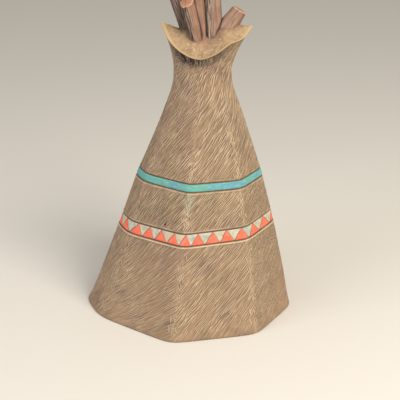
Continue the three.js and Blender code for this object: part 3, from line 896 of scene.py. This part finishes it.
def poleMaterial():
    # The same earthenware stained reddish brown like peeled poles, wiped so that the stain stays in the furrows
    material, tree = newMaterial("stainedEarthenwarePoles")
    look = poleLook
    for name in ("stain", "grey", "bark", "crevice", "cutFace", "cutEdge", "footBlend"):
        addNode(tree, name, "Attribute", (), {"attribute_name": name})
    flat = {"noise_dimensions": "2D"}
    rows = [
        ("place", "TexCoord"),
        ("grainMap", "UVMap", (), {"uv_map": "grain"}),
        ("split", "SeparateXYZ", ("grainMap",)),
        ("around", "Math MULTIPLY", ("split.X", 10)),
        ("upward", "Math MULTIPLY", ("split.Y", 10)),
        # streaks of about 0.7 mm by 8 mm up the pole, and patches of about 7 mm
        ("streakMap", "Mapping", {"Vector": "grainMap", "Scale": (14, 1.2, 1)}),
        ("streaks", "TexNoise", {"Vector": "streakMap", "Scale": 1, "Detail": 3, "Roughness": 0.6}, flat),
        ("patches", "TexNoise", {"Vector": "place.Object", "Scale": 130, "Detail": 2}),
        ("patched", "MapRange", ("patches", 0.4, 0.6)),
        ("barkPart", "Math MULTIPLY_ADD", ("footBlend.Fac", -0.6, "bark.Fac")),
        ("streakPale", "MapRange", ("streaks", 0.5, 0.66)),
        ("streakDark", "MapRange", ("streaks", 0.47, 0.3)),
        ("darkStreak", "Math MULTIPLY", ("streakDark", "bark.Fac")),
        ("greyPart", "Math MULTIPLY", ("streakPale", "grey.Fac")),
        ("greyUnder", "Math MULTIPLY", ("grey.Fac", 0.6)),
        # dark brown wash together with painted shade on the poles' shaded sides, broken up by the streaks
        ("stainRough", "MapRange", ("streaks", 0.35, 0.62, 1.15, 0.45)),
        ("stainPart", "Math MULTIPLY", ("stain.Fac", "stainRough")),
        ("cutRing", "Math SUBTRACT", ("cutEdge.Fac", "cutFace.Fac")),
    ]
    for row in rows:
        addNode(tree, *row)
    light, dark = strokeNodes(tree, "furrow", "around", "upward", barkStrokes, "barkPart")
    addNode(tree, "furrowPart", "Math MULTIPLY", (dark, 0.9))
    addNode(tree, "ridgePart", "Math MULTIPLY", (light, 0.6))
    # the dark coats include painted shade: on the poles' shaded sides and in the crevices between poles
    colour = addCoats(tree, look["bark"], [
        ("patched", look["barkPale"]), ("greyUnder", look["greyWipe"]), ("greyPart", look["greyPale"]),
        ("darkStreak", look["furrow"]), ("furrowPart", look["furrow"]), ("ridgePart", look["greyPale"]),
        ("stainPart", look["stain"]), ("crevice.Fac", look["crevice"]), ("footBlend.Fac", look["foot"]),
        ("cutFace.Fac", look["cut"]), ("cutRing", look["cutEdge"])])
    rows = [
        ("raised", "Math SUBTRACT", (light, dark)),
        ("height", "Math MULTIPLY_ADD", ("streaks", 0.8, "raised")),
        ("bump", "Bump", {"Height": "height", "Strength": 1, "Distance": 0.0002}),
        ("clay", "BsdfPrincipled", {"Base Color": colour, "Normal": "bump", "Roughness": 0.75, "IOR": 1.5,
                                    "Specular IOR Level": 0.4}),
        ("output", "OutputMaterial", {"Surface": "clay"}),
    ]
    for row in rows:
        addNode(tree, *row)
    return material


print("making the materials")
teepee.data.materials.append(clayMaterial())
poleFinish = poleMaterial()
for piece in polePieces:
    piece.data.materials.append(poleFinish)

# Studio: a pale floor, soft light from the front right, a weaker one from the left, and the photograph's camera
studio = {
    "floor": "#d9d5cc", "surround": "#f3f0ea", "surroundStrength": 0.58, "lens": 90,
    "camera": (0.01181, -0.54015, 0.27625), "pitch": 21.574, "yaw": 0.532,
    "keyLight": {"place": (0.42, -0.5, 0.62), "size": 0.45, "power": 7.5, "colour": "#fff7ec"},
    "fillLight": {"place": (-0.6, -0.45, 0.4), "size": 0.5, "power": 2.6, "colour": "#f4f4ff"},
}


def softLight(name, look):
    # a square lamp that looks at the middle of the figurine
    lamp = bpy.data.lights.new(name, "AREA")
    lamp.shape, lamp.size, lamp.energy = "SQUARE", look["size"], look["power"]
    lamp.color = linear(look["colour"])[:3]
    holder = bpy.data.objects.new(name, lamp)
    bpy.context.scene.collection.objects.link(holder)
    holder.location = look["place"]
    way = Vector((0, 0, 0.08)) - Vector(look["place"])
    holder.rotation_euler = way.to_track_quat("-Z", "Y").to_euler()


def buildStudio():
    wide = 3.0
    mesh = bpy.data.meshes.new("floor")
    mesh.from_pydata([(-wide, -wide, 0), (wide, -wide, 0), (wide, wide, 0), (-wide, wide, 0)], [], [(0, 1, 2, 3)])
    floor = bpy.data.objects.new("floor", mesh)
    bpy.context.scene.collection.objects.link(floor)
    material, tree = newMaterial("matBoard")
    addNode(tree, "board", "BsdfPrincipled", {"Base Color": studio["floor"], "Roughness": 0.9})
    addNode(tree, "output", "OutputMaterial", {"Surface": "board"})
    mesh.materials.append(material)
    softLight("keyLight", studio["keyLight"])
    softLight("fillLight", studio["fillLight"])
    world = bpy.data.worlds.new("softRoom")
    bpy.context.scene.world = world
    world.use_nodes = True
    world.node_tree.nodes.clear()
    addNode(world.node_tree, "sky", "Background", {"Color": studio["surround"], "Strength": studio["surroundStrength"]})
    addNode(world.node_tree, "output", "OutputWorld", {"Surface": "sky"})
    camera = bpy.data.cameras.new("camera")
    camera.lens, camera.sensor_width = studio["lens"], 36
    camera.clip_start, camera.clip_end = 0.01, 20
    holder = bpy.data.objects.new("camera", camera)
    bpy.context.scene.collection.objects.link(holder)
    holder.location = studio["camera"]
    holder.rotation_euler = (np.radians(90 - studio["pitch"]), 0, np.radians(studio["yaw"]))
    bpy.context.scene.camera = holder
    bpy.context.scene.view_settings.view_transform = "Standard"


print("setting up the studio")
buildStudio()
